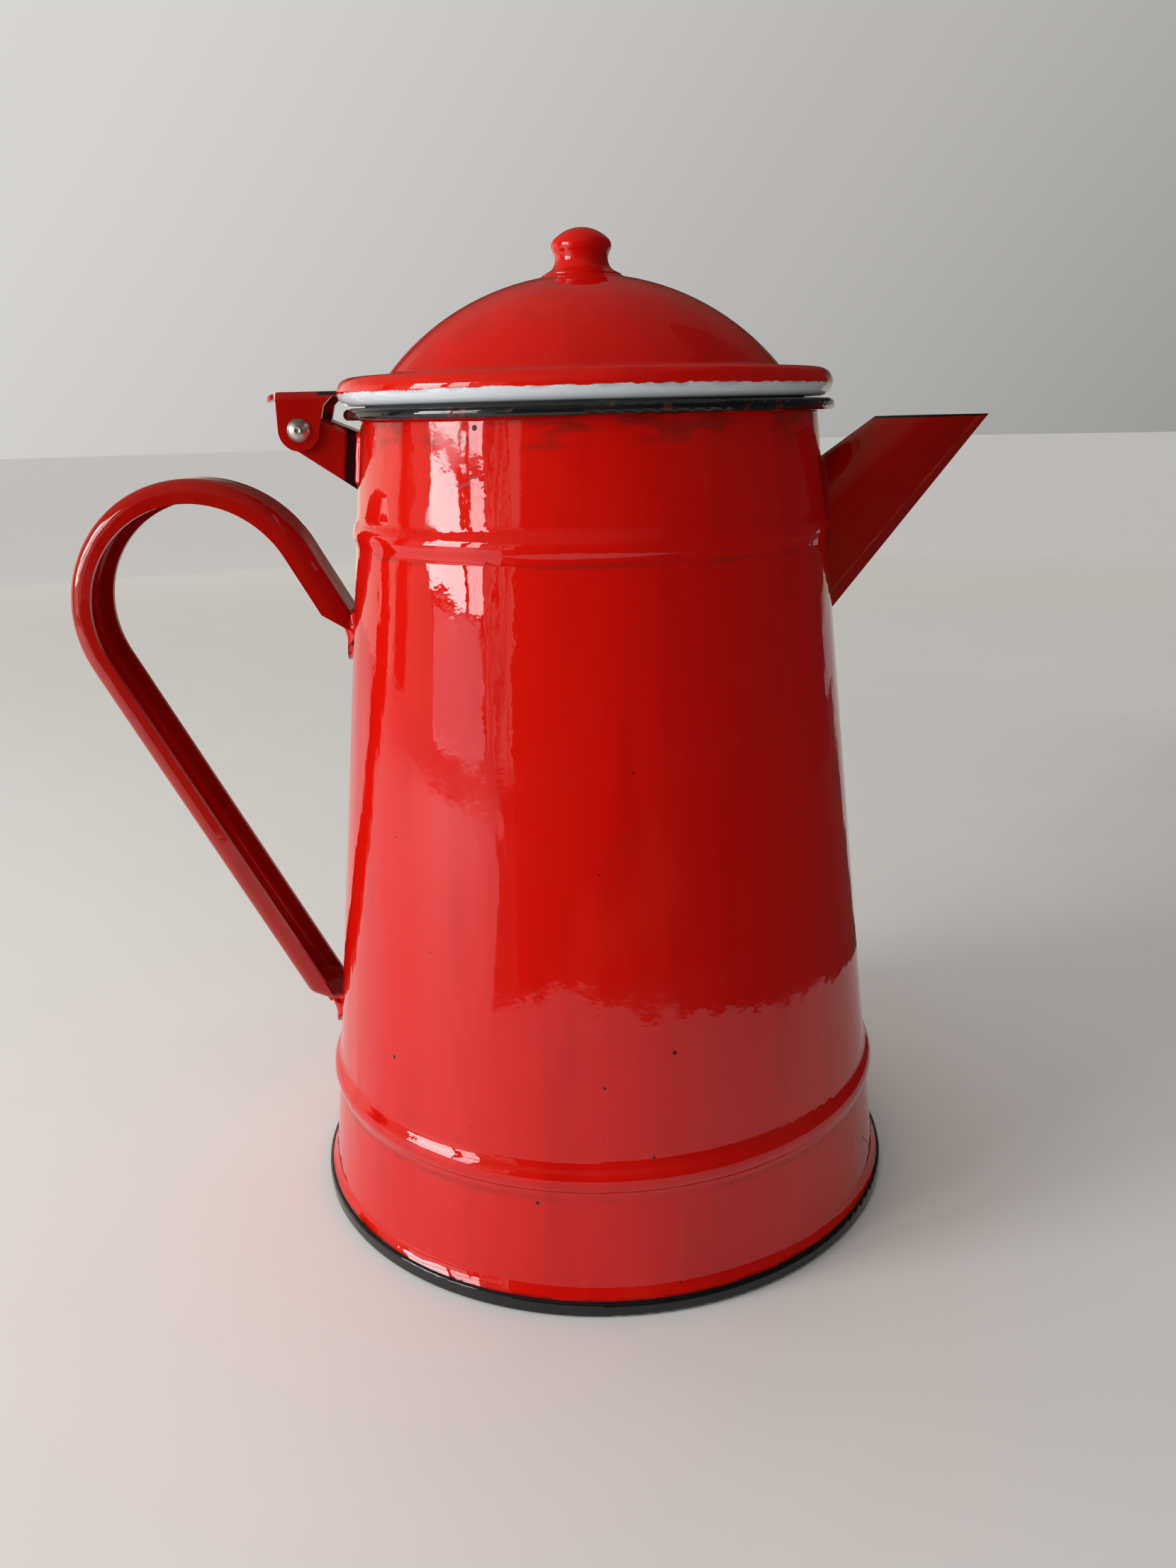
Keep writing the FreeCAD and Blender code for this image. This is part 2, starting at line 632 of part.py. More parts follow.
def hinge_bracket():
    """Two cheeks under a sloping top, tapering from the wall to the hinge axis."""
    pivot = FreeCAD.Vector(pivot_x, 0, pivot_z)
    top = FreeCAD.Vector(-wall_radius(rim_height - bracket_top_drop), 0, rim_height - bracket_top_drop)
    foot = FreeCAD.Vector(-wall_radius(rim_height - bracket_foot_drop), 0, rim_height - bracket_foot_drop)
    top_touch = tangent_point(top, pivot, bracket_radius, -1)
    foot_touch = tangent_point(foot, pivot, bracket_radius, 1)
    upper = (top - top_touch).normalize()
    lower = (foot - foot_touch).normalize()
    inner_top = top + upper * overrun
    inner_foot = foot + lower * overrun
    outline = Outline(inner_top.x, inner_top.z)
    outline.line(top_touch.x, top_touch.z)
    outline.arc(pivot_x - bracket_radius, pivot_z, foot_touch.x, foot_touch.z)
    outline.line(inner_foot.x, inner_foot.z)
    start = top_touch - upper * (2 * bracket_radius)
    length = (inner_top - start).Length
    width = hinge_width - 2 * sheet - 2 * ear_gap
    strip = folded_strip(start, upper, length, width, bracket_foot_drop + overrun)
    cheeks = strip.common(across(outline.face(), hinge_width))
    hole = along_y(pivot_x, pivot_z, rivet_radius + rivet_clearance, hinge_width)
    return cheeks.cut([filled_body(weld_gap), hole])


def lid_edge_ring():
    """The folded edge as a plain ring, to trim the leaf that is welded to it."""
    fold = lid_fold / 2
    outline = Outline(0, lid_base - weld_gap)
    outline.line(lid_radius - fold, lid_base - weld_gap)
    outline.arc(lid_radius + weld_gap, lid_base + fold, lid_radius - fold, brim_top + weld_gap)
    outline.line(0, brim_top + weld_gap)
    ring = spin(outline.face())
    ring.translate(FreeCAD.Vector(-lid_shift, 0, 0))
    return ring


def thumb_lip():
    """The short lip behind the ears, bent down a little and rounded at its end."""
    rear = pivot_x - ear_radius
    root = rear + hinge_fold
    tip = rear - thumb_length
    outline = Outline(root, leaf_top)
    outline.line(rear, leaf_top)
    outline.line(tip, leaf_top - thumb_droop)
    outline.line(tip, leaf_top - thumb_droop - sheet)
    outline.line(rear, leaf_top - sheet)
    outline.line(root, leaf_top - sheet)
    half = thumb_width / 2
    round_end = Part.makeCylinder(half, rim_height, FreeCAD.Vector(tip + half, 0, pivot_z))
    return across(outline.face(), thumb_width).common(round_end)


def hinge_leaf():
    """Strap from the lid's edge, folded down on both sides into ears beside the bracket."""
    rear = pivot_x - ear_radius
    front = -(lid_radius + lid_shift - lid_fold / 2)
    plate_under = leaf_top - sheet
    outline = Outline(rear, leaf_top)
    outline.line(rear, pivot_z)
    outline.arc(pivot_x, pivot_z - ear_radius, pivot_x + ear_radius, pivot_z)
    outline.line(pivot_x + ear_radius + ear_spread, plate_under - hinge_fold)
    outline.line(pivot_x + ear_radius + ear_spread + hinge_fold, plate_under)
    outline.line(front, plate_under)
    outline.line(front, leaf_top)
    start = FreeCAD.Vector(rear, 0, leaf_top)
    depth = leaf_top - pivot_z + ear_radius + overrun
    strip = folded_strip(start, FreeCAD.Vector(1, 0, 0), front - rear, hinge_width, depth)
    leaf = strip.common(across(outline.face(), hinge_width + overrun)).fuse(thumb_lip()).removeSplitter()
    hole = along_y(pivot_x, pivot_z, rivet_radius + rivet_clearance, hinge_width + overrun)
    return leaf.cut([lid_edge_ring(), hole])


def hinge_rivet():
    """Shank through ears and cheeks, with a domed head at each end."""
    face_y = hinge_width / 2 + rivet_play
    sphere = (rivet_head_radius ** 2 + rivet_head_height ** 2) / (2 * rivet_head_height)
    rivet = along_y(0, 0, rivet_radius, 2 * face_y + rivet_head_height)
    dimple = (rivet_dimple ** 2 + rivet_dimple_depth ** 2) / (2 * rivet_dimple_depth)
    marks = []
    head_y = face_y + rivet_head_height
    for side in (1, -1):
        out = FreeCAD.Vector(0, side, 0)
        ball = Part.makeSphere(sphere, out * (head_y - sphere))
        slab = Part.makeCylinder(rivet_head_radius, rivet_head_height, out * face_y, out)
        rivet = rivet.fuse(ball.common(slab))
        marks.append(Part.makeSphere(dimple, out * (head_y - rivet_dimple_depth + dimple)))
    rivet = rivet.removeSplitter().cut(marks)
    rivet.translate(FreeCAD.Vector(pivot_x, 0, pivot_z))
    return rivet


pieces = {
    "body_shell": body_shell,
    "base_pan": base_pan,
    "spout_shell": spout_shell,
    "handle_strap": handle_strap,
    "hinge_bracket": hinge_bracket,
    "hinge_rivet": hinge_rivet,
    "lid_dome": lid_dome,
    "lid_knob": lid_knob,
    "hinge_leaf": hinge_leaf,
}

os.makedirs("parts", exist_ok=True)
for name, make in pieces.items():
    shape = make()
    shape.exportStep("parts/" + name + ".step")
    print(name, "solids", len(shape.Solids), "valid", shape.isValid(), "volume", round(shape.Volume, 1))
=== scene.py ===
import math

import bmesh
import bpy
from mathutils import Matrix, Vector


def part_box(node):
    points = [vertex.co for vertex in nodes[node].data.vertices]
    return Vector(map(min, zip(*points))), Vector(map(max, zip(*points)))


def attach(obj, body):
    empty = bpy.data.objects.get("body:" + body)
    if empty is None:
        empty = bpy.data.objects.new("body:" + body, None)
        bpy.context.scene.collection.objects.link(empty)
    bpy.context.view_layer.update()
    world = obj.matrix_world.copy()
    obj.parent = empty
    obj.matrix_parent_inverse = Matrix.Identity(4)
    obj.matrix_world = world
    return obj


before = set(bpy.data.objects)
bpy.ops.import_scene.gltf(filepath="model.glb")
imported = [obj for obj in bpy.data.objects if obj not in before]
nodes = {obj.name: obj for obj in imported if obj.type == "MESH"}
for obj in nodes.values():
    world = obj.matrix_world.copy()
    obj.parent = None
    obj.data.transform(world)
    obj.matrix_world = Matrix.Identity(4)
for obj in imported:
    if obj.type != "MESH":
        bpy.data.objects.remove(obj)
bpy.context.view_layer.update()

# An enamelled coffee pot: looks for the solids of the frame, and the enamel that runs over their seams.
# Metres, +Z up, in the solids' own frame. The spout points along +X, the handle along -X.

# Sizes of the solids that the colours and the seams follow
SHEET = 0.0012
OUTER_PART = 0.4 * SHEET                 # the outside's colour reaches this deep into the sheet
INNER_PART = 0.6 * SHEET                 # the inside's colour starts at this depth
FOOT_RADIUS = 0.0704                     # plain wall, at the standing plane
NECK_RADIUS = 0.0508                     # plain wall, at the rim's top
RIM_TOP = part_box("body_shell")[1].z
RIM_BOTTOM = RIM_TOP - 0.0025
RIM_UNDERSIDE = RIM_TOP - SHEET
RIM_EDGE = NECK_RADIUS + 0.0039
WALL_TAPER = (NECK_RADIUS - FOOT_RADIUS) / RIM_TOP
UPPER_BEAD = RIM_TOP - 0.0265
LOWER_BEAD = 0.0304
BEADS = ((UPPER_BEAD, 0.00375, 0.00085), (LOWER_BEAD, 0.0045, 0.0014))    # height, half width, how proud
HEM_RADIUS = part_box("base_pan")[1].x
HEM_TOP = 0.0035
HEM_ROUND = 0.0008
FLOOR_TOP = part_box("base_pan")[1].z
MOUTH_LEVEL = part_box("spout_shell")[1].z
SPOUT_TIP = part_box("spout_shell")[1].x
MOUTH_LENGTH = 0.0261
ROOF_DROP = 0.0091                       # mouth down to where the roof meets the wall
KEEL_DROP = 0.0452                       # mouth down to where the keel meets the wall
KEEL_FOLD = 0.0040                       # half width of the keel where the roof meets the wall
LID_BASE = RIM_TOP + 0.0003
LID_FOLD = 0.006
LID_ROUND = 0.5 * LID_FOLD               # the folded edge is half a circle
LID_RADIUS = RIM_EDGE + 0.0003
LID_SHIFT = 0.0008                       # the lid sits this far toward its hinge
BRIM_TOP = LID_BASE + LID_FOLD
DOME_RISE = 0.0208
DOME_RADIUS = LID_RADIUS - 0.0109        # at its foot
DOME_TOP = BRIM_TOP + DOME_RISE
DOME_SPHERE = (DOME_RADIUS ** 2 + DOME_RISE ** 2) / (2 * DOME_RISE)

# Enamel colours, linear
SCARLET = (0.60, 0.0050, 0.0020, 1)
DEEP_RED = (0.44, 0.0026, 0.0014, 1)     # thick runs
THIN_RED = (0.64, 0.0200, 0.0080, 1)     # thin places
REDS = (SCARLET, DEEP_RED, THIN_RED)
SHADED_REDS = (                            # painted shade: darker copies of the reds for the spout, handle and hinge
    (0.32, 0.0034, 0.0012, 1),
    (0.22, 0.0014, 0.0010, 1),
    (0.36, 0.0130, 0.0045, 1),
)
BLACK = (0.008, 0.008, 0.009, 1)
WHITE = (0.62, 0.66, 0.70, 1)
MILKY = (0.40, 0.47, 0.54, 1)            # thin white over the dark ground coat
PIT = (0.030, 0.006, 0.005, 1)
# rust, also used for the painted shade under the beads
RUST_AND_SHADE = (0.080, 0.014, 0.008, 1)
# burnt enamel at the foot, and painted shade in the bracket's corner
BURNT_AND_SHADE = (0.016, 0.003, 0.002, 1)
THIN_FOLD_HIGHLIGHT = (0.44, 0.034, 0.010, 1)         # thinnest red with a painted highlight, along the spout's folds

SURFACE_IOR = 1.5


class Graph:
    """The nodes of one material. An input is a socket, a number, a colour or a vector."""

    def __init__(self, name):
        self.material = bpy.data.materials.new(name)
        self.material.use_nodes = True
        self.tree = self.material.node_tree
        self.tree.nodes.clear()
        self.place = self.add("ShaderNodeTexCoord").outputs["Object"]
        parts = self.add("ShaderNodeSeparateXYZ", {0: self.place})
        self.x, self.y, self.z = parts.outputs

    def add(self, kind, inputs=None, **settings):
        node = self.tree.nodes.new(kind)
        for key, value in settings.items():
            setattr(node, key, value)
        for key, value in (inputs or {}).items():
            if isinstance(value, bpy.types.NodeSocket):
                self.tree.links.new(value, node.inputs[key])
            else:
                node.inputs[key].default_value = value
        return node

    def math(self, operation, *values):
        return self.add("ShaderNodeMath", dict(enumerate(values)), operation=operation).outputs[0]

    def step(self, value, low, high):
        """0 at low, 1 at high and smooth between them, also where low is the larger."""
        inputs = {"Value": value, "From Min": low, "From Max": high}
        return self.add("ShaderNodeMapRange", inputs, interpolation_type="SMOOTHSTEP").outputs[0]

    def between(self, share, low, high):
        """From low to high as the share goes from 0 to 1."""
        inputs = {"Value": share, "To Min": low, "To Max": high}
        return self.add("ShaderNodeMapRange", inputs).outputs[0]

    def span(self, value, low, high, soft):
        """1 between low and high, with soft ends."""
        return self.both(self.step(value, low - soft, low), self.step(value, high + soft, high))

    def both(self, *masks):
        result = masks[0]
        for mask in masks[1:]:
            result = self.math("MULTIPLY", result, mask)
        return result

    def either(self, *masks):
        result = masks[0]
        for mask in masks[1:]:
            result = self.math("MAXIMUM", result, mask)
        return result

    def without(self, mask):
        return self.math("SUBTRACT", 1.0, mask)

    def mix(self, share, one, other):
        return self.add("ShaderNodeMix", {0: share, 6: one, 7: other}, data_type="RGBA").outputs[2]

    def stain(self, colour, mask, strength, other):
        """A colour with another laid over it where the mask is 1, at this strength."""
        return self.mix(self.math("MULTIPLY", mask, strength), colour, other)

    def noise(self, size, stretch=1.0, detail=2.0, shift=0.0):
        """Noise whose lumps are about this size, and stretch times as tall."""
        scale = (1 / size, 1 / size, 1 / (size * stretch))
        inputs = {"Vector": self.place, "Location": (shift, shift, shift), "Scale": scale}
        mapped = self.add("ShaderNodeMapping", inputs)
        inputs = {"Vector": mapped.outputs[0], "Scale": 1.0, "Detail": detail}
        return self.add("ShaderNodeTexNoise", inputs).outputs[0]

    def wander(self, value, noise, amount):
        """A value moved to and fro by noise, by up to about half the amount."""
        return self.math("ADD", value, self.math("MULTIPLY", self.math("SUBTRACT", noise, 0.5), amount))

    def hypotenuse(self, one, other):
        squares = self.math("ADD", self.math("MULTIPLY", one, one), self.math("MULTIPLY", other, other))
        return self.math("SQRT", squares)

    def radius(self, centre_x=0.0):
        """Distance from an upright axis."""
        return self.hypotenuse(self.math("SUBTRACT", self.x, centre_x), self.y)

    def along(self, direction):
        """How far the place lies along a direction, from the origin."""
        inputs = {0: self.place, 1: direction}
        return self.add("ShaderNodeVectorMath", inputs, operation="DOT_PRODUCT").outputs[1]

    def distance(self, point):
        inputs = {0: self.place, 1: point}
        return self.add("ShaderNodeVectorMath", inputs, operation="DISTANCE").outputs[1]

    def spot(self, point, size):
        """1 inside a ball round a point, with a soft edge."""
        return self.step(self.distance(point), size, 0.6 * size)

    def dots(self, spacing, size):
        """Scattered dots, 1 inside a dot."""
        inputs = {"Vector": self.place, "Scale": 1 / spacing}
        near = self.add("ShaderNodeTexVoronoi", inputs).outputs[0]
        return self.step(near, size / spacing, 0.5 * size / spacing)

    def bump(self, heights):
        """A normal from (height, how far it stands out) pairs."""
        normal = None
        for height, distance in heights:
            inputs = {"Height": height, "Distance": distance, "Strength": 1.0}
            if normal is not None:
                inputs["Normal"] = normal
            normal = self.add("ShaderNodeBump", inputs).outputs[0]
        return normal

    def finish(self, shader):
        output = self.add("ShaderNodeOutputMaterial")
        self.tree.links.new(shader.outputs[0], output.inputs[0])
        return self.material

    def surface(self, colour, roughness, normal, metallic=0.0):
        inputs = {
            "Base Color": colour,
            "Roughness": roughness,
            "Normal": normal,
            "Metallic": metallic,
            "IOR": SURFACE_IOR,
        }
        return self.finish(self.add("ShaderNodeBsdfPrincipled", inputs))


# Enamel

FRESH_ROUGHNESS = 0.03
WORN_ROUGHNESS = 0.11
CHIP_ROUGHNESS = 0.6                     # added where the enamel is chipped
COAT_CHANGE = 0.4                        # strength of the thick runs and the thin patches
PINHOLE_SPACING = 0.008
PINHOLE_SIZE = 0.0003
# Waves of glass that ran down the sheet: size, stretch, detail, shift, how far they stand out
ENAMEL_WAVES = (
    (0.006, 7.0, 1.5, 0.0, 0.00017),     # tall runs
    (0.0045, 1.6, 1.0, 7.0, 0.00007),    # short waves
    (0.030, 1.6, 0.0, 3.0, 0.00040),     # broad lumps
    (0.0013, 1.0, 1.0, 0.0, 0.000011),   # fine orange peel
)


def plain_wall(height):
    """Outside radius of the plain wall at a height."""
    return FOOT_RADIUS + WALL_TAPER * height


def on_wall(angle, height):
    """A point on the plain wall, at an angle from the side that faces -Y, positive toward the spout."""
    radius = plain_wall(height)
    turn = math.radians(angle)
    return Vector((radius * math.sin(turn), -radius * math.cos(turn), height))


def enamel_normal(graph):
    heights = []
    for size, stretch, detail, shift, proud in ENAMEL_WAVES:
        heights.append((graph.noise(size, stretch, detail, shift), proud))
    return graph.bump(heights)


def red_colour(graph, reds=REDS):
    """Red with deeper runs, thinner patches and pinholes."""
    main, deep, light = reds
    runs = graph.step(graph.noise(0.009, stretch=9.0, detail=3.0, shift=1.0), 0.45, 0.75)
    colour = graph.stain(main, runs, COAT_CHANGE, deep)
    thin = graph.step(graph.noise(0.035, stretch=1.5, detail=3.0, shift=5.0), 0.5, 0.75)
    colour = graph.stain(colour, thin, COAT_CHANGE, light)
    return graph.mix(graph.dots(PINHOLE_SPACING, PINHOLE_SIZE), colour, PIT)


def enamel(graph, colour, chipped=0.0):
    """Glossy enamel, a little duller where it is worn and dull where it is chipped."""
    worn = graph.step(graph.noise(0.02, detail=4.0, shift=8.0), 0.4, 0.8)
    roughness = graph.between(worn, FRESH_ROUGHNESS, WORN_ROUGHNESS)
    roughness = graph.math("MULTIPLY_ADD", chipped, CHIP_ROUGHNESS, roughness)
    return graph.surface(colour, roughness, enamel_normal(graph))


def wall_radius(graph):
    """Outside radius of the wall and its beads at the height of the place shaded."""
    radius = graph.math("MULTIPLY_ADD", graph.z, WALL_TAPER, FOOT_RADIUS)
    for height, half_width, proud in BEADS:
        away = graph.math("ABSOLUTE", graph.math("SUBTRACT", graph.z, height))
        radius = graph.math("MULTIPLY_ADD", graph.step(away, half_width, 0.1 * half_width), proud, radius)
    return radius


# Chips in the wall: angle from the side that faces -Y, in degrees, height, size
SPECKS = (
    (-12.5, 0.0248, 0.0005),
    (0.1, 0.0511, 0.0004),
    (13.3, 0.0577, 0.0006),
    (8.8, 0.0351, 0.0004),
    (-25.5, 0.1831, 0.0007),
    (-45.4, 0.0490, 0.0006),
)
# Hairline cracks in the wall: angle and height of both ends, width
CRACKS = (
    ((-29.9, 0.1724), (-25.0, 0.1735), 0.00010),
    ((65.4, 0.0153), (72.9, 0.0070), 0.00018),
)
CRACK_WANDER = 0.0011
CRACK_END = 0.0004                       # length over which a crack fades out
SMEAR_LOW = RIM_TOP - 0.0068
SMEAR_HIGH = RIM_TOP - 0.0024
SMEAR_STRENGTH = 0.45
# strength of the painted shade under the beads
BEAD_SHADE_STRENGTH = 0.35


def hairline(graph, start, end, width):
    """A crooked crack between two points, 1 on the crack."""
    run = end - start
    heading = run.normalized()
    along = graph.math("SUBTRACT", graph.along(heading), start.dot(heading))
    side = heading.cross(start.normalized())
    off = graph.math("SUBTRACT", graph.along(side), start.dot(side))
    off = graph.wander(off, graph.noise(0.0022, detail=1.0), CRACK_WANDER)
    thin = graph.step(graph.math("ABSOLUTE", off), width, 0.4 * width)
    near = graph.spot((start + end) / 2, 2 * run.length)
    return graph.both(thin, graph.span(along, 0.0, run.length, CRACK_END), near)


def body_marks(graph):
    """Chips and hairline cracks: 1 where the red is gone."""
    chips = [graph.spot(on_wall(angle, height), size) for angle, height, size in SPECKS]
    cracks = [hairline(graph, on_wall(*start), on_wall(*end), width) for start, end, width in CRACKS]
    return graph.either(*chips, *cracks)


def rim_smear(graph):
    """A rusty smear under the rim: 1 where it is."""
    level = graph.wander(graph.z, graph.noise(0.006, detail=4.0), 0.004)
    patches = graph.step(graph.noise(0.009, stretch=0.4, detail=5.0, shift=2.0), 0.46, 0.62)
    return graph.both(graph.span(level, SMEAR_LOW, SMEAR_HIGH, 0.0016), patches)


def bead_shade(graph):
    """Painted shade in the hollow under each bead: 1 where it lies."""
    hollows = graph.either(
        graph.span(graph.z, LOWER_BEAD - 0.0047, LOWER_BEAD - 0.0042, 0.0007),
        graph.span(graph.z, UPPER_BEAD - 0.0040, UPPER_BEAD - 0.0036, 0.0006),
    )
    patches = graph.step(graph.noise(0.008, stretch=0.3, detail=4.0, shift=4.0), 0.35, 0.6)
    return graph.both(hollows, patches)


def black_rim(graph, radius):
    """The rim's lip and top, with a ragged border: 1 where it is black."""
    ragged = graph.noise(0.0035, detail=3.0)
    level = graph.wander(graph.z, ragged, 0.0012)
    on_lip = graph.both(
        graph.step(level, RIM_BOTTOM - 0.0002, RIM_BOTTOM + 0.0001),
        graph.step(radius, RIM_EDGE - 1.1 * SHEET, RIM_EDGE - 0.9 * SHEET),
    )
    reach = graph.wander(radius, ragged, 0.0010)
    on_top = graph.both(
        graph.step(graph.z, RIM_UNDERSIDE + 0.0002, RIM_UNDERSIDE + 0.0004),
        graph.step(reach, NECK_RADIUS - 0.0004, NECK_RADIUS),
    )
    return graph.either(on_lip, on_top)


def body_material():
    """Red outside, white inside, a black rim with rusty spots, and painted shade under the beads."""
    graph = Graph("enamel_body")
    radius = graph.radius()
    marks = body_marks(graph)
    red = graph.mix(marks, red_colour(graph), PIT)
    red = graph.stain(red, rim_smear(graph), SMEAR_STRENGTH, RUST_AND_SHADE)
    # painted shade in the hollow under each bead
    red = graph.stain(red, bead_shade(graph), BEAD_SHADE_STRENGTH, RUST_AND_SHADE)
    depth = graph.math("SUBTRACT", wall_radius(graph), radius)
    over_rim = graph.step(graph.z, RIM_UNDERSIDE, RIM_UNDERSIDE + 0.0002)
    inside = graph.either(graph.step(depth, OUTER_PART, INNER_PART), over_rim)
    colour = graph.mix(inside, red, WHITE)
    black = graph.mix(graph.step(graph.noise(0.004, detail=4.0, shift=6.0), 0.62, 0.7), BLACK, RUST_AND_SHADE)
    colour = graph.mix(black_rim(graph, radius), colour, black)
    return enamel(graph, colour, marks)


def base_material():
    """Black hem and underside, white floor inside."""
    graph = Graph("enamel_base")
    floor = graph.both(
        graph.step(graph.z, FLOOR_TOP - 0.0004, FLOOR_TOP - 0.0002),
        graph.step(graph.radius(), FOOT_RADIUS - 0.0008, FOOT_RADIUS - 0.0012),
    )
    return enamel(graph, graph.mix(floor, BLACK, WHITE))


# Heights on the foot between which the red turns burnt, and the burnt enamel black
FOOT_BURNT = (0.0041, 0.0032)
FOOT_BLACK = (0.0034, 0.0030)


def foot_material():
    """Red that ends in a burnt edge above the black of the hem."""
    graph = Graph("enamel_foot")
    level = graph.wander(graph.z, graph.noise(0.008, detail=4.0), 0.0010)
    colour = graph.mix(graph.step(level, *FOOT_BURNT), red_colour(graph), BURNT_AND_SHADE)
    colour = graph.mix(graph.step(level, *FOOT_BLACK), colour, BLACK)
    return enamel(graph, colour)


LID_SPLIT = LID_BASE + 0.47 * LID_FOLD   # border of red and white on the folded edge


def lid_material():
    """Red dome and brim, white inside, and white on the lower half of the folded edge."""
    graph = Graph("enamel_lid")
    level = graph.wander(graph.z, graph.noise(0.0024, stretch=0.7, detail=4.0), 0.0010)
    reach = graph.distance((-LID_SHIFT, 0, DOME_TOP - DOME_SPHERE))
    radius = graph.radius(-LID_SHIFT)
    under_dome = graph.step(reach, DOME_SPHERE - OUTER_PART, DOME_SPHERE - INNER_PART)
    under_brim = graph.step(graph.z, BRIM_TOP - OUTER_PART, BRIM_TOP - INNER_PART)
    on_fold = graph.step(radius, LID_RADIUS - 1.1 * LID_ROUND, LID_RADIUS - LID_ROUND)
    within = graph.both(graph.without(on_fold), graph.either(under_dome, under_brim))
    fold_reach = graph.hypotenuse(
        graph.math("SUBTRACT", radius, LID_RADIUS - LID_ROUND),
        graph.math("SUBTRACT", graph.z, LID_BASE + LID_ROUND),
    )
    in_fold = graph.step(fold_reach, LID_ROUND - OUTER_PART, LID_ROUND - INNER_PART)
    low = graph.both(on_fold, graph.either(graph.step(level, LID_SPLIT, LID_SPLIT - 0.0002), in_fold))
    worn = graph.step(graph.noise(0.004, detail=2.0), 0.45, 0.6)
    thin = graph.both(on_fold, graph.step(level, LID_SPLIT - 0.0010, LID_SPLIT), worn)
    pale = graph.mix(thin, WHITE, MILKY)
    colour = graph.mix(graph.either(within, low), red_colour(graph), pale)
    return enamel(graph, colour)


CREASE_HALF = 0.00032                    # half width of a crease, with its soft edge
CREASE_REACH = (0.0070, 0.0060)          # creases fade out this far above the keel


def keel_crease_highlights(graph):
    """The two folds beside the spout's keel, where the coat is thin and a highlight is painted: 1 on a fold.
    """
    tip = Vector((SPOUT_TIP, 0, MOUTH_LEVEL))
    rear = tip - Vector((MOUTH_LENGTH, 0, 0))
    keel_foot = Vector((plain_wall(MOUTH_LEVEL - KEEL_DROP), 0, MOUTH_LEVEL - KEEL_DROP))
    roof_foot = Vector((plain_wall(MOUTH_LEVEL - ROOF_DROP), 0, MOUTH_LEVEL - ROOF_DROP))
    keel = (tip - keel_foot).normalized()
    roof = (rear - roof_foot).normalized()
    axis = (keel + roof).normalized()
    up = Vector((-axis.z, 0, axis.x))

    def depth(station):
        """Keel to roof, square to the spout's axis."""
        low = keel_foot + keel * ((station - keel_foot.dot(axis)) / keel.dot(axis))
        high = roof_foot + roof * ((station - roof_foot.dot(axis)) / roof.dot(axis))
        return (high - low).dot(up)

    root = roof_foot.dot(axis)
    end = tip.dot(axis)
    # Half the keel's width shrinks with the spout's depth
    gain = KEEL_FOLD * (depth(end) / depth(root) - 1) / (end - root)
    half_width = graph.math("MULTIPLY_ADD", graph.along(axis), gain, KEEL_FOLD - gain * root)
    off = graph.math("SUBTRACT", graph.math("ABSOLUTE", graph.y), half_width)
    off = graph.wander(off, graph.noise(0.004, detail=2.0), 0.0003)
    line = graph.step(graph.math("ABSOLUTE", off), CREASE_HALF, 0.25 * CREASE_HALF)
    square = Vector((-keel.z, 0, keel.x))
    rise = graph.math("SUBTRACT", graph.along(square), keel_foot.dot(square))
    worn = graph.step(graph.noise(0.007, detail=3.0, shift=6.0), 0.36, 0.60)
    return graph.both(line, graph.step(rise, *CREASE_REACH), worn)


def spout_material():
    """Darker red as painted shade, thin and with a painted highlight along the folds, with the dark ground
    coat bare along the edge of the mouth.
    """
    graph = Graph("enamel_spout")
    level = graph.wander(graph.z, graph.noise(0.003, detail=3.0), 0.0007)
    edge = graph.step(level, MOUTH_LEVEL - 0.0006, MOUTH_LEVEL - 0.0003)
    # painted highlight on the folds, over darker red that is painted shade
    colour = graph.mix(keel_crease_highlights(graph), red_colour(graph, SHADED_REDS), THIN_FOLD_HIGHLIGHT)
    colour = graph.mix(edge, colour, BLACK)
    return enamel(graph, colour)


LEAF_BARE_X = (-0.0602, -0.0594)         # the leaf is bare from here toward the lid
LEAF_BARE_Z = (0.1902, 0.1906)           # and from here up


def leaf_material():
    """Darker red as painted shade, chipped to the black ground coat on top, where it meets the lid."""
    graph = Graph("enamel_leaf")
    forward = graph.wander(graph.x, graph.noise(0.003, detail=3.0), 0.0035)
    bare = graph.both(graph.step(forward, *LEAF_BARE_X), graph.step(graph.z, *LEAF_BARE_Z))
    colour = graph.mix(bare, red_colour(graph, SHADED_REDS), BLACK)
    return enamel(graph, colour)


BRACKET_SHADE = (0.0040, 0.0026)         # painted shade darkens the bracket this near to the wall


def bracket_material():
    """Darker red as painted shade, with more painted shade darkening it in the corner beside the wall."""
    graph = Graph("enamel_bracket")
    clear = graph.math("SUBTRACT", graph.radius(), wall_radius(graph))
    clear = graph.wander(clear, graph.noise(0.004, stretch=2.0, detail=3.0), 0.0016)
    # painted shade in the corner beside the wall
    colour = graph.mix(graph.step(clear, *BRACKET_SHADE), red_colour(graph, SHADED_REDS), BURNT_AND_SHADE)
    return enamel(graph, colour)


def plain_red_material(name, reds=REDS):
    graph = Graph(name)
    return enamel(graph, red_colour(graph, reds))


RIVET_STEEL = (0.50, 0.49, 0.47, 1)
RIVET_STAIN = (0.32, 0.30, 0.28, 1)


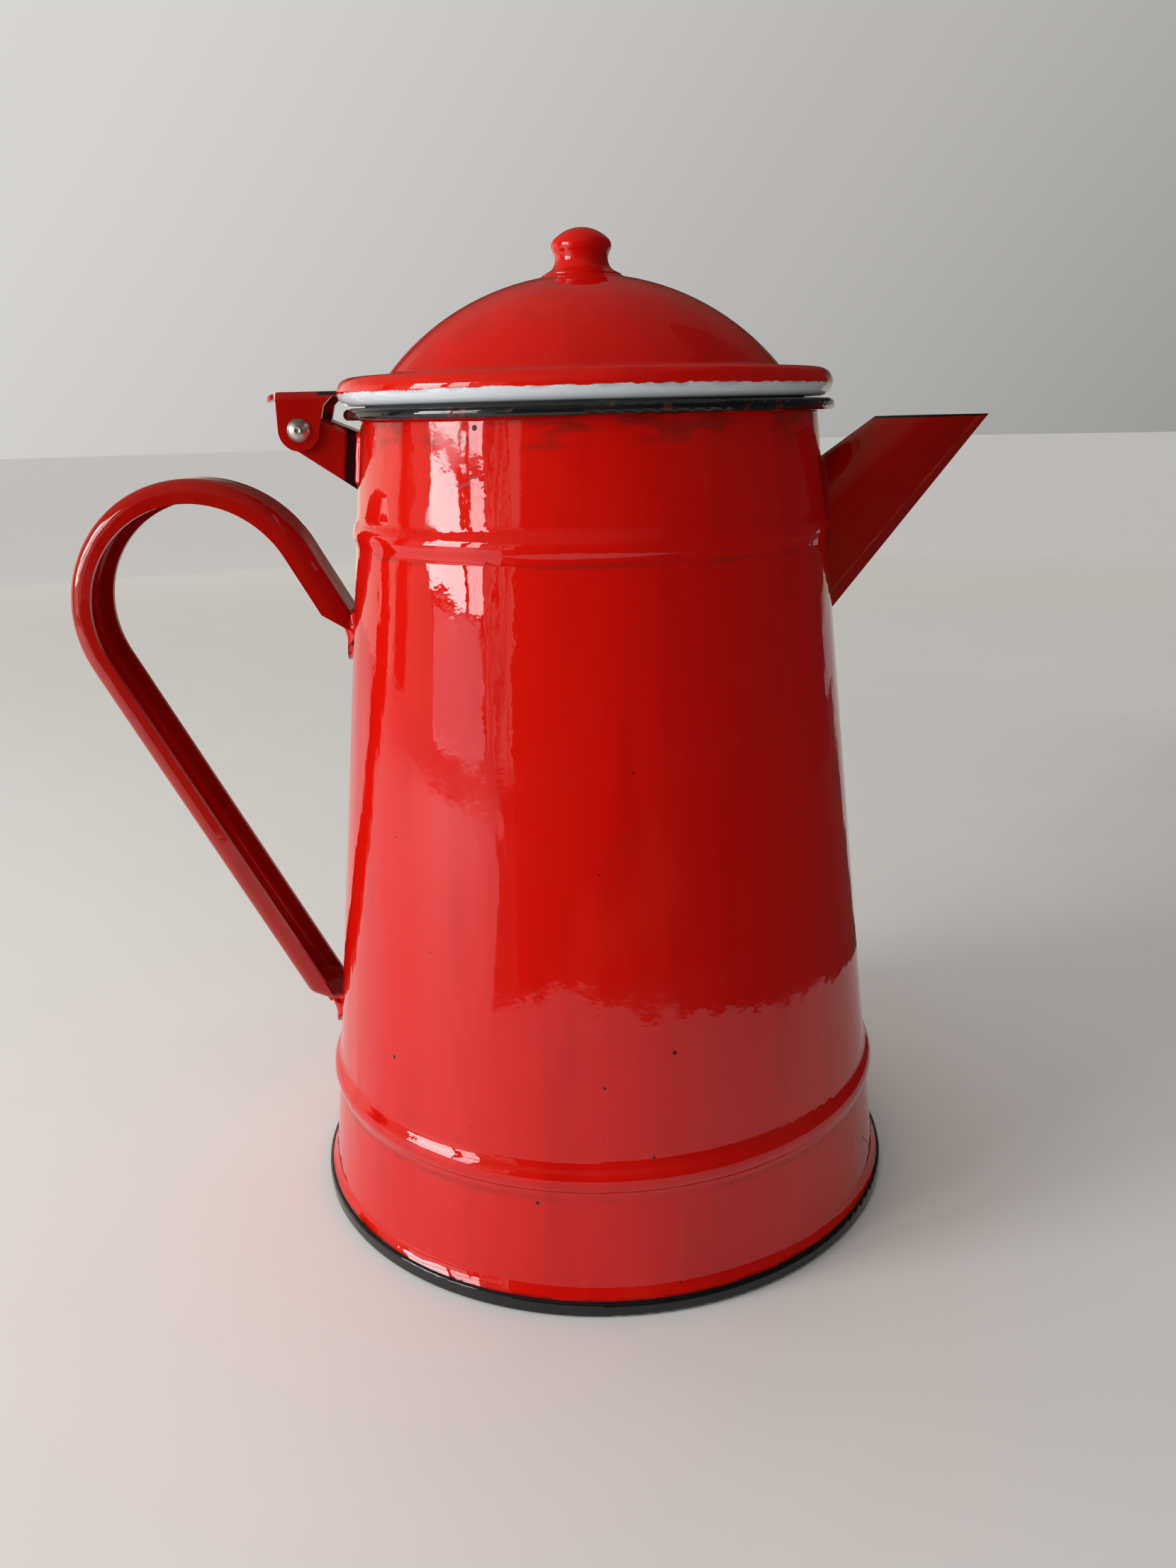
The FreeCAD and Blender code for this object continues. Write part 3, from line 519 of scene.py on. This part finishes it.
def rivet_material():
    """Dull grey steel with a hammered, slightly stained face."""
    graph = Graph("rivet_steel")
    stain = graph.step(graph.noise(0.0012, detail=5.0), 0.4, 0.7)
    colour = graph.mix(stain, RIVET_STEEL, RIVET_STAIN)
    roughness = graph.between(stain, 0.34, 0.5)
    dents = graph.noise(0.0009, detail=3.0)
    return graph.surface(colour, roughness, graph.bump([(dents, 0.00004)]), metallic=1.0)


def dress(piece, material):
    slots = piece.data.materials
    slots.clear()
    slots.append(material)


dress(nodes["body_shell"], body_material())
dress(nodes["base_pan"], base_material())
dress(nodes["lid_dome"], lid_material())
dress(nodes["lid_knob"], plain_red_material("enamel_knob"))
dress(nodes["spout_shell"], spout_material())
# The handle takes the darker reds: painted shade.
dress(nodes["handle_strap"], plain_red_material("enamel_handle", SHADED_REDS))
dress(nodes["hinge_bracket"], bracket_material())
dress(nodes["hinge_leaf"], leaf_material())
dress(nodes["hinge_rivet"], rivet_material())


# Enamel that fills the seams

SEAM_STEPS = 8                           # across the hollow of a seam
SEAM_LIFT = 0.0004                       # height over the wall at which the foot of a piece is found
SEAM_REACH = 0.03                        # rays to a piece start this far out
SEAM_TRIES = 4                           # steps that bring a ray down to the wall
SEAM_SINK = 0.00005                      # the edges of a seam lie this deep in the metal
SEAM_ROOT = 0.0004                       # and its inner point this deep
SEAM_SWELLS = ((0.18, 3, 0.6), (0.12, 7, 2.0))    # share of the width, waves in a turn, phase
BESIDE_POT = 0.12                        # rays to the wall start here, clear of every piece


def add_piece(name, rows, body, closed):
    """A smooth tube from rows of points, each row the outline of one section."""
    mesh = bmesh.new()
    rings = [[mesh.verts.new(point) for point in row] for row in rows]
    count = len(rings)
    for index in range(count if closed else count - 1):
        ring = rings[index]
        following = rings[(index + 1) % count]
        for place in range(len(ring)):
            other = (place + 1) % len(ring)
            mesh.faces.new((ring[place], ring[other], following[other], following[place]))
    if not closed:
        mesh.faces.new(rings[0])
        mesh.faces.new(rings[-1])
    bmesh.ops.recalc_face_normals(mesh, faces=mesh.faces)
    for face in mesh.faces:
        face.smooth = len(face.verts) == 4
    data = bpy.data.meshes.new(name)
    mesh.to_mesh(data)
    mesh.free()
    piece = bpy.data.objects.new(name, data)
    bpy.context.scene.collection.objects.link(piece)
    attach(piece, body)
    return piece


def hollow(start, corner, end, inner):
    """Section of a seam: a hollow from start to end, bent toward the corner, and an inner point behind it."""
    points = []
    for step in range(SEAM_STEPS + 1):
        share = step / SEAM_STEPS
        first = start.lerp(corner, share)
        points.append(first.lerp(corner.lerp(end, share), share))
    return points + [inner]


def lathe(name, start, corner, end, inner, body, centre_x=0.0, turns=144):
    """A seam turned about an upright axis. Points are (radius, height)."""
    section = hollow(*[Vector((radius, 0, height)) for radius, height in (start, corner, end, inner)])
    centre = Vector((centre_x, 0, 0))
    rows = []
    for turn in range(turns):
        spin = Matrix.Rotation(2 * math.pi * turn / turns, 3, "Z")
        rows.append([spin @ point + centre for point in section])
    return add_piece(name, rows, body, closed=True)


def wall_point(y, z, side):
    """The wall's outer face at a place beside the handle (side -1) or the spout (side 1), and its normal."""
    origin = Vector((side * BESIDE_POT, y, z))
    return nodes["body_shell"].ray_cast(origin, Vector((-side, 0, 0)))[1:3]


def plain_normal(point):
    """Outward normal of the plain wall beside a point."""
    outward = Vector((point.x, point.y, 0)).normalized()
    return Vector((outward.x, outward.y, -WALL_TAPER)).normalized()


def seam_hit(node, middle_z, side, angle, lift):
    """Where a ray that slides in over the wall, this far above it, meets a piece."""
    away = Vector((0, math.cos(angle), math.sin(angle)))
    point = Vector((side * plain_wall(middle_z), 0, middle_z))
    for attempt in range(SEAM_TRIES):
        normal = plain_normal(point)
        slide = (away - normal * away.dot(normal)).normalized()
        start = point + normal * lift + slide * SEAM_REACH
        hit = nodes[node].ray_cast(start, -slide, distance=2 * SEAM_REACH)[1]
        point = wall_point(hit.y, hit.z, side)[0]
    return hit


def seam(name, node, side, turns, width, climb, closed=True):
    """Enamel in the corner between the wall and a piece that is welded to it."""
    rows = []
    for middle_z, angle in turns:
        foot = seam_hit(node, middle_z, side, angle, SEAM_LIFT)
        top = seam_hit(node, middle_z, side, angle, climb)
        swell = 1 + sum(share * math.sin(waves * angle + phase) for share, waves, phase in SEAM_SWELLS)
        away = Vector((0, math.cos(angle), math.sin(angle)))
        reach = foot + away * width * swell
        start, normal = wall_point(reach.y, reach.z, side)
        corner, corner_normal = wall_point(foot.y, foot.z, side)
        inner = corner - corner_normal * SEAM_ROOT - away * SEAM_ROOT
        rows.append(hollow(start - normal * SEAM_SINK, corner, top - away * SEAM_SINK, inner))
    return add_piece(name, rows, "pot", closed)


def round_turns(middle_z, start, end, count):
    """Directions about one middle: its height and the angle, from start to end in degrees."""
    return [(middle_z, math.radians(start + (end - start) * place / count)) for place in range(count)]


def slot_turns(low_z, high_z, count):
    """Directions once round a tall piece: half a turn about each end and a straight run between them."""
    heights = [low_z + (high_z - low_z) * place / count for place in range(count)]
    turns = [(height, 0.0) for height in heights]
    turns += round_turns(high_z, 0, 180, count)
    turns += [(low_z + high_z - height, math.pi) for height in heights]
    return turns + round_turns(low_z, 180, 360, count)


FOOT_COAT_TOP = 0.0075                   # where the coat over the hem leaves the wall
FOOT_COAT_DEPTH = 0.0003                 # its upper edge lies this deep in the wall


def foot_enamel():
    """Enamel that runs from the wall over the shoulder of the hem."""
    start = (plain_wall(FOOT_COAT_TOP) - FOOT_COAT_DEPTH, FOOT_COAT_TOP)
    corner = (FOOT_RADIUS - 0.0004, HEM_TOP + HEM_ROUND)
    end = (HEM_RADIUS - 0.00002, HEM_TOP - HEM_ROUND)
    inner = (FOOT_RADIUS - 0.0006, HEM_TOP - HEM_ROUND)
    return lathe("foot_enamel", start, corner, end, inner, "pot", turns=360)


# Radii of the coat round the knob's foot
KNOB_COAT_INNER = 0.0076
KNOB_COAT_CORNER = 0.0089
KNOB_COAT_OUTER = 0.0108
ABOVE_POT = 0.3


def knob_enamel():
    """Red enamel that runs from the knob's flare onto the dome."""
    def level(node, radius):
        origin = Vector((radius - LID_SHIFT, 0, ABOVE_POT))
        return nodes[node].ray_cast(origin, Vector((0, 0, -1)))[1].z

    start = (KNOB_COAT_OUTER, level("lid_dome", KNOB_COAT_OUTER) - 0.00015)
    corner = (KNOB_COAT_CORNER, level("lid_dome", KNOB_COAT_CORNER) + 0.0001)
    end = (KNOB_COAT_INNER, level("lid_knob", KNOB_COAT_INNER) + 0.00002)
    inner = (KNOB_COAT_INNER, start[1])
    return lathe("knob_enamel", start, corner, end, inner, "lid", centre_x=-LID_SHIFT)


WEB_STEPS = 28
WEB_HALF = 0.0076                        # half its width across the strap
WEB_END = 0.30                           # size at its two ends, as a share of the middle's
TONGUE_TOP = 0.00135                     # outer face of a tongue, above the wall
TONGUE_SIDE = 0.0012                     # width over which a web comes down beside the tongue
WEB_SINK = 0.0001                        # the edges of a web lie this deep in the metal


def web(name, foot_z, slope, reach, drop):
    """Enamel under one end of the handle, from the strap's lower side down over its tongue."""
    rows = []
    for step in range(WEB_STEPS + 1):
        y = WEB_HALF * (2 * step / WEB_STEPS - 1)
        size = WEB_END + (1 - WEB_END) * math.sqrt(1 - (y / WEB_HALF) ** 2)
        lift = TONGUE_TOP * min(1.0, (WEB_HALF - abs(y)) / TONGUE_SIDE)
        foot, normal = wall_point(y, foot_z, -1)
        low, low_normal = wall_point(y, foot_z - drop * size, -1)
        corner = foot + normal * lift
        end = foot + Vector((-reach * size, 0, slope * reach * size + WEB_SINK))
        inner = foot + Vector((WEB_SINK, 0, 0.0006))
        rows.append(hollow(low + low_normal * (lift - WEB_SINK), corner, end, inner))
    return add_piece(name, rows, "pot", closed=False)


spout_turns = slot_turns(MOUTH_LEVEL - 0.038, MOUTH_LEVEL - 0.021, count=32)
upper_turns = round_turns(0.1365, 0, 360, count=96)
lower_turns = round_turns(0.0425, 0, 360, count=96)
bracket_turns = round_turns(0.1745, -38, 218, count=72)
seam_red = plain_red_material("enamel_seams")
# The seam round the spout takes the darker reds: painted shade.
seam_shaded_red = plain_red_material("enamel_spout_seam", SHADED_REDS)

dress(foot_enamel(), foot_material())
dress(knob_enamel(), seam_red)
dress(web("upper_web_enamel", foot_z=0.1379, slope=0.60, reach=0.0046, drop=0.0052), seam_red)
dress(web("lower_web_enamel", foot_z=0.0428, slope=0.395, reach=0.0050, drop=0.0056), seam_red)
dress(seam("spout_enamel", "spout_shell", 1, spout_turns, width=0.0016, climb=0.0014), seam_shaded_red)
dress(seam("upper_tongue_enamel", "handle_strap", -1, upper_turns, width=0.0016, climb=0.0012), seam_red)
dress(seam("lower_tongue_enamel", "handle_strap", -1, lower_turns, width=0.0013, climb=0.0012), seam_red)
dress(seam("bracket_enamel", "hinge_bracket", -1, bracket_turns, 0.0012, 0.0012, closed=False), seam_red)


# Floor and cards

FLOOR_RADIUS = 8.0
FLOOR_COLOURS = ((0.79, 0.78, 0.76, 1), (0.83, 0.82, 0.80, 1))
FELT_COLOURS = ((0.018, 0.016, 0.016, 1), (0.030, 0.026, 0.025, 1))
DIM_COLOURS = ((0.060, 0.048, 0.040, 1), (0.110, 0.090, 0.075, 1))
FLAG_STEPS = 24
FLOOR_FLAG_LEVEL = 0.0006


def matte_material(name, size, colours, roughness, relief):
    """A dull surface of two colours mixed by a grain."""
    graph = Graph(name)
    grain = graph.noise(size, detail=4.0)
    return graph.surface(graph.mix(grain, *colours), roughness, graph.bump([(grain, relief)]))


def floor():
    """A wide plain floor."""
    bpy.ops.mesh.primitive_circle_add(vertices=96, radius=FLOOR_RADIUS, fill_type="NGON")
    ground = bpy.context.object
    ground.name = "floor"
    dress(ground, matte_material("floor", 0.05, FLOOR_COLOURS, roughness=0.6, relief=0.0001))


def stage_place(angle, distance, height):
    """A place in the studio: angle in degrees from the camera's side, positive to the left."""
    turn = math.radians(angle)
    return Vector((-distance * math.sin(turn), -distance * math.cos(turn), height))


def only_in_reflections(card):
    card.visible_camera = False
    card.visible_diffuse = False
    card.visible_shadow = False
    card.visible_transmission = False


def flag_card(name, points, material):
    """A strip of faces between two rows of points, given in turn. The camera looks through it."""
    faces = [(2 * i, 2 * i + 1, 2 * i + 3, 2 * i + 2) for i in range(FLAG_STEPS)]
    mesh = bpy.data.meshes.new(name)
    mesh.from_pydata(points, [], faces)
    mesh.materials.append(material)
    card = bpy.data.objects.new(name, mesh)
    card.visible_camera = False
    bpy.context.scene.collection.objects.link(card)
    return card


def round_flag(name, start, end, distance, low, high):
    """A curved dark card that stands round the pot."""
    points = []
    for step in range(FLAG_STEPS + 1):
        angle = start + (end - start) * step / FLAG_STEPS
        points.append(stage_place(angle, distance, low))
        points.append(stage_place(angle, distance, high))
    return flag_card(name, points, matte_material("felt", 0.004, FELT_COLOURS, roughness=0.9, relief=0.0005))


def floor_flag(name, start, end, start_near, end_near, far):
    """A flat dim card that lies round the pot and shows in reflections alone."""
    points = []
    for step in range(FLAG_STEPS + 1):
        share = step / FLAG_STEPS
        angle = start + (end - start) * share
        near = start_near + (end_near - start_near) * share
        points.append(stage_place(angle, near, FLOOR_FLAG_LEVEL))
        points.append(stage_place(angle, far, FLOOR_FLAG_LEVEL))
    material = matte_material("dim_card", 0.02, DIM_COLOURS, roughness=0.8, relief=0.0003)
    only_in_reflections(flag_card(name, points, material))


# Light

TENT_RADIUS = 1.4
TENT_COLOUR = (1.0, 0.92, 0.76, 1)
TENT_DIM = 0.02                          # brightness where nothing else shines
TENT_SHARES = {                          # added brightness of its parts
    "far_left": 0.95,
    "far_right": 0.45,
    "right_of_window": 0.95,
    "left_of_window": 0.55,
    "overhead": 0.22,
}


def tent_parts(graph):
    """Masks by direction. Angles are in degrees from the camera's side, positive to the left."""
    left = graph.math("MULTIPLY", graph.x, -1.0)
    ahead = graph.math("MULTIPLY", graph.y, -1.0)
    angle = graph.math("DEGREES", graph.math("ARCTAN2", left, ahead))
    angle = graph.wander(angle, graph.noise(0.12, stretch=3.0, detail=4.0), 9.0)
    low = graph.step(graph.z, 0.6 * TENT_RADIUS, 0.2 * TENT_RADIUS)
    near_floor = graph.step(graph.z, 0.35 * TENT_RADIUS, 0.04 * TENT_RADIUS)
    beside = graph.both(low, graph.step(angle, 160.0, 145.0))
    streaks = graph.step(graph.noise(0.035, stretch=30.0, detail=2.0, shift=9.0), 0.30, 0.62)
    high = graph.step(graph.z, 0.25 * TENT_RADIUS, 0.7 * TENT_RADIUS)
    return {
        "far_left": graph.both(graph.step(angle, 99.0, 105.0), graph.either(beside, near_floor)),
        "far_right": graph.both(graph.step(angle, -126.0, -145.0), near_floor),
        "right_of_window": graph.both(graph.span(angle, 33.0, 48.0, 2.5), low, streaks),
        "left_of_window": graph.both(graph.span(angle, 80.0, 91.0, 3.0), low),
        "overhead": graph.both(high, graph.step(graph.x, 1.0 * TENT_RADIUS, -0.9 * TENT_RADIUS)),
    }


def tent_material():
    """Dim in front and to the right, pale beside the window, on the far left and overhead."""
    graph = Graph("tent")
    brightness = TENT_DIM
    for part, mask in tent_parts(graph).items():
        brightness = graph.math("MULTIPLY_ADD", mask, TENT_SHARES[part], brightness)
    graph.material.cycles.emission_sampling = "NONE"
    return graph.finish(graph.add("ShaderNodeEmission", {"Color": TENT_COLOUR, "Strength": brightness}))


def tent():
    """A round tent that shows in reflections alone."""
    bpy.ops.mesh.primitive_uv_sphere_add(segments=96, ring_count=48, radius=TENT_RADIUS)
    cloth = bpy.context.object
    cloth.name = "tent"
    dress(cloth, tent_material())
    only_in_reflections(cloth)


def softbox(name, place, target, width, height, brightness):
    """A soft lamp of a given brightness, where 1 is white."""
    lamp = bpy.data.lights.new(name, "AREA")
    lamp.shape = "RECTANGLE"
    lamp.size = width
    lamp.size_y = height
    lamp.energy = brightness * math.pi * width * height
    holder = bpy.data.objects.new(name, lamp)
    holder.location = place
    holder.rotation_euler = (Vector(target) - Vector(place)).to_track_quat("-Z", "Y").to_euler()
    holder.visible_camera = False
    bpy.context.scene.collection.objects.link(holder)


WINDOW_DISTANCE = 0.9
WINDOW_SILL = 0.172
WINDOW_BAR = (0.292, 0.312)              # bar across the window
WINDOW_TOP = 0.56
WINDOW_COLUMNS = (("left", 61, 79, 13.0), ("right", 49, 58, 9.0))    # side, first and last angle, brightness


def window_pane(name, start, end, low, high, brightness):
    """An upright pane that fills the directions between two angles."""
    middle = (low + high) / 2
    width = 2 * WINDOW_DISTANCE * math.tan(math.radians((end - start) / 2))
    place = stage_place((start + end) / 2, WINDOW_DISTANCE, middle)
    softbox(name, place, (0, 0, middle), width, high - low, brightness)


def window():
    """Two columns of panes, each crossed by a bar, with a dimmer sill below."""
    for side, start, end, brightness in WINDOW_COLUMNS:
        window_pane("window_low_" + side, start, end, WINDOW_SILL, WINDOW_BAR[0], brightness)
        window_pane("window_high_" + side, start, end, WINDOW_BAR[1], WINDOW_TOP, brightness)
    window_pane("window_sill", start=50, end=76, low=0.03, high=0.16, brightness=1.5)


ROOM_COLOUR = (1.0, 0.985, 0.96, 1)
HORIZON = 0.45                           # brightness of the room level with the floor
ROOM_GAINS = (-0.36, 0.04, 0.26)         # change of brightness toward +X, +Y and +Z


def surroundings():
    """A pale room, brighter overhead and on the left."""
    world = bpy.data.worlds.new("studio")
    bpy.context.scene.world = world
    world.use_nodes = True
    tree = world.node_tree
    background = tree.nodes["Background"]
    background.inputs["Color"].default_value = ROOM_COLOUR
    place = tree.nodes.new("ShaderNodeTexCoord")
    parts = tree.nodes.new("ShaderNodeSeparateXYZ")
    tree.links.new(place.outputs["Generated"], parts.inputs[0])
    strength = None
    for part, gain in enumerate(ROOM_GAINS):
        change = tree.nodes.new("ShaderNodeMath")
        change.operation = "MULTIPLY_ADD"
        tree.links.new(parts.outputs[part], change.inputs[0])
        change.inputs[1].default_value = gain
        change.inputs[2].default_value = HORIZON
        if strength is not None:
            tree.links.new(strength, change.inputs[2])
        strength = change.outputs[0]
    tree.links.new(strength, background.inputs["Strength"])


# The photograph's camera, fitted to the pot's outlines
IMAGE_HEIGHT = 2212
FOCAL_PIXELS = 1762.8
SENSOR = 36.0
CAMERA_PLACE = (-0.00101, -0.2952, 0.18547)
CAMERA_DOWN = math.radians(16.56)
CAMERA_ROLL = math.radians(-1.36)
CAMERA_YAW = math.radians(-0.21)


def camera():
    ahead = Vector((
        math.sin(CAMERA_YAW) * math.cos(CAMERA_DOWN),
        math.cos(CAMERA_YAW) * math.cos(CAMERA_DOWN),
        -math.sin(CAMERA_DOWN),
    ))
    level = Vector((math.cos(CAMERA_YAW), -math.sin(CAMERA_YAW), 0))
    upward = level.cross(ahead)
    right = level * math.cos(CAMERA_ROLL) + upward * math.sin(CAMERA_ROLL)
    up = upward * math.cos(CAMERA_ROLL) - level * math.sin(CAMERA_ROLL)
    lens = bpy.data.cameras.new("camera")
    lens.sensor_width = SENSOR
    lens.lens = SENSOR * FOCAL_PIXELS / IMAGE_HEIGHT
    lens.clip_start = 0.01
    holder = bpy.data.objects.new("camera", lens)
    turn = Matrix((right, up, -ahead)).transposed()
    holder.matrix_world = Matrix.Translation(CAMERA_PLACE) @ turn.to_4x4()
    bpy.context.scene.collection.objects.link(holder)
    bpy.context.scene.camera = holder


floor()
surroundings()
window()
round_flag("right_flag", start=-140, end=-38, distance=0.60, low=0.10, high=1.1)
only_in_reflections(round_flag("right_low_flag", start=-128, end=-45, distance=0.60, low=0.0, high=0.1))
only_in_reflections(round_flag("front_flag", start=-95, end=32, distance=0.35, low=0.0, high=0.2))
floor_flag("right_floor_flag", start=-140, end=14, start_near=0.155, end_near=0.350, far=0.8)
floor_flag("left_floor_flag", start=14, end=40, start_near=0.350, end_near=0.300, far=1.3)
tent()
camera()
bpy.context.scene.view_settings.view_transform = "Standard"
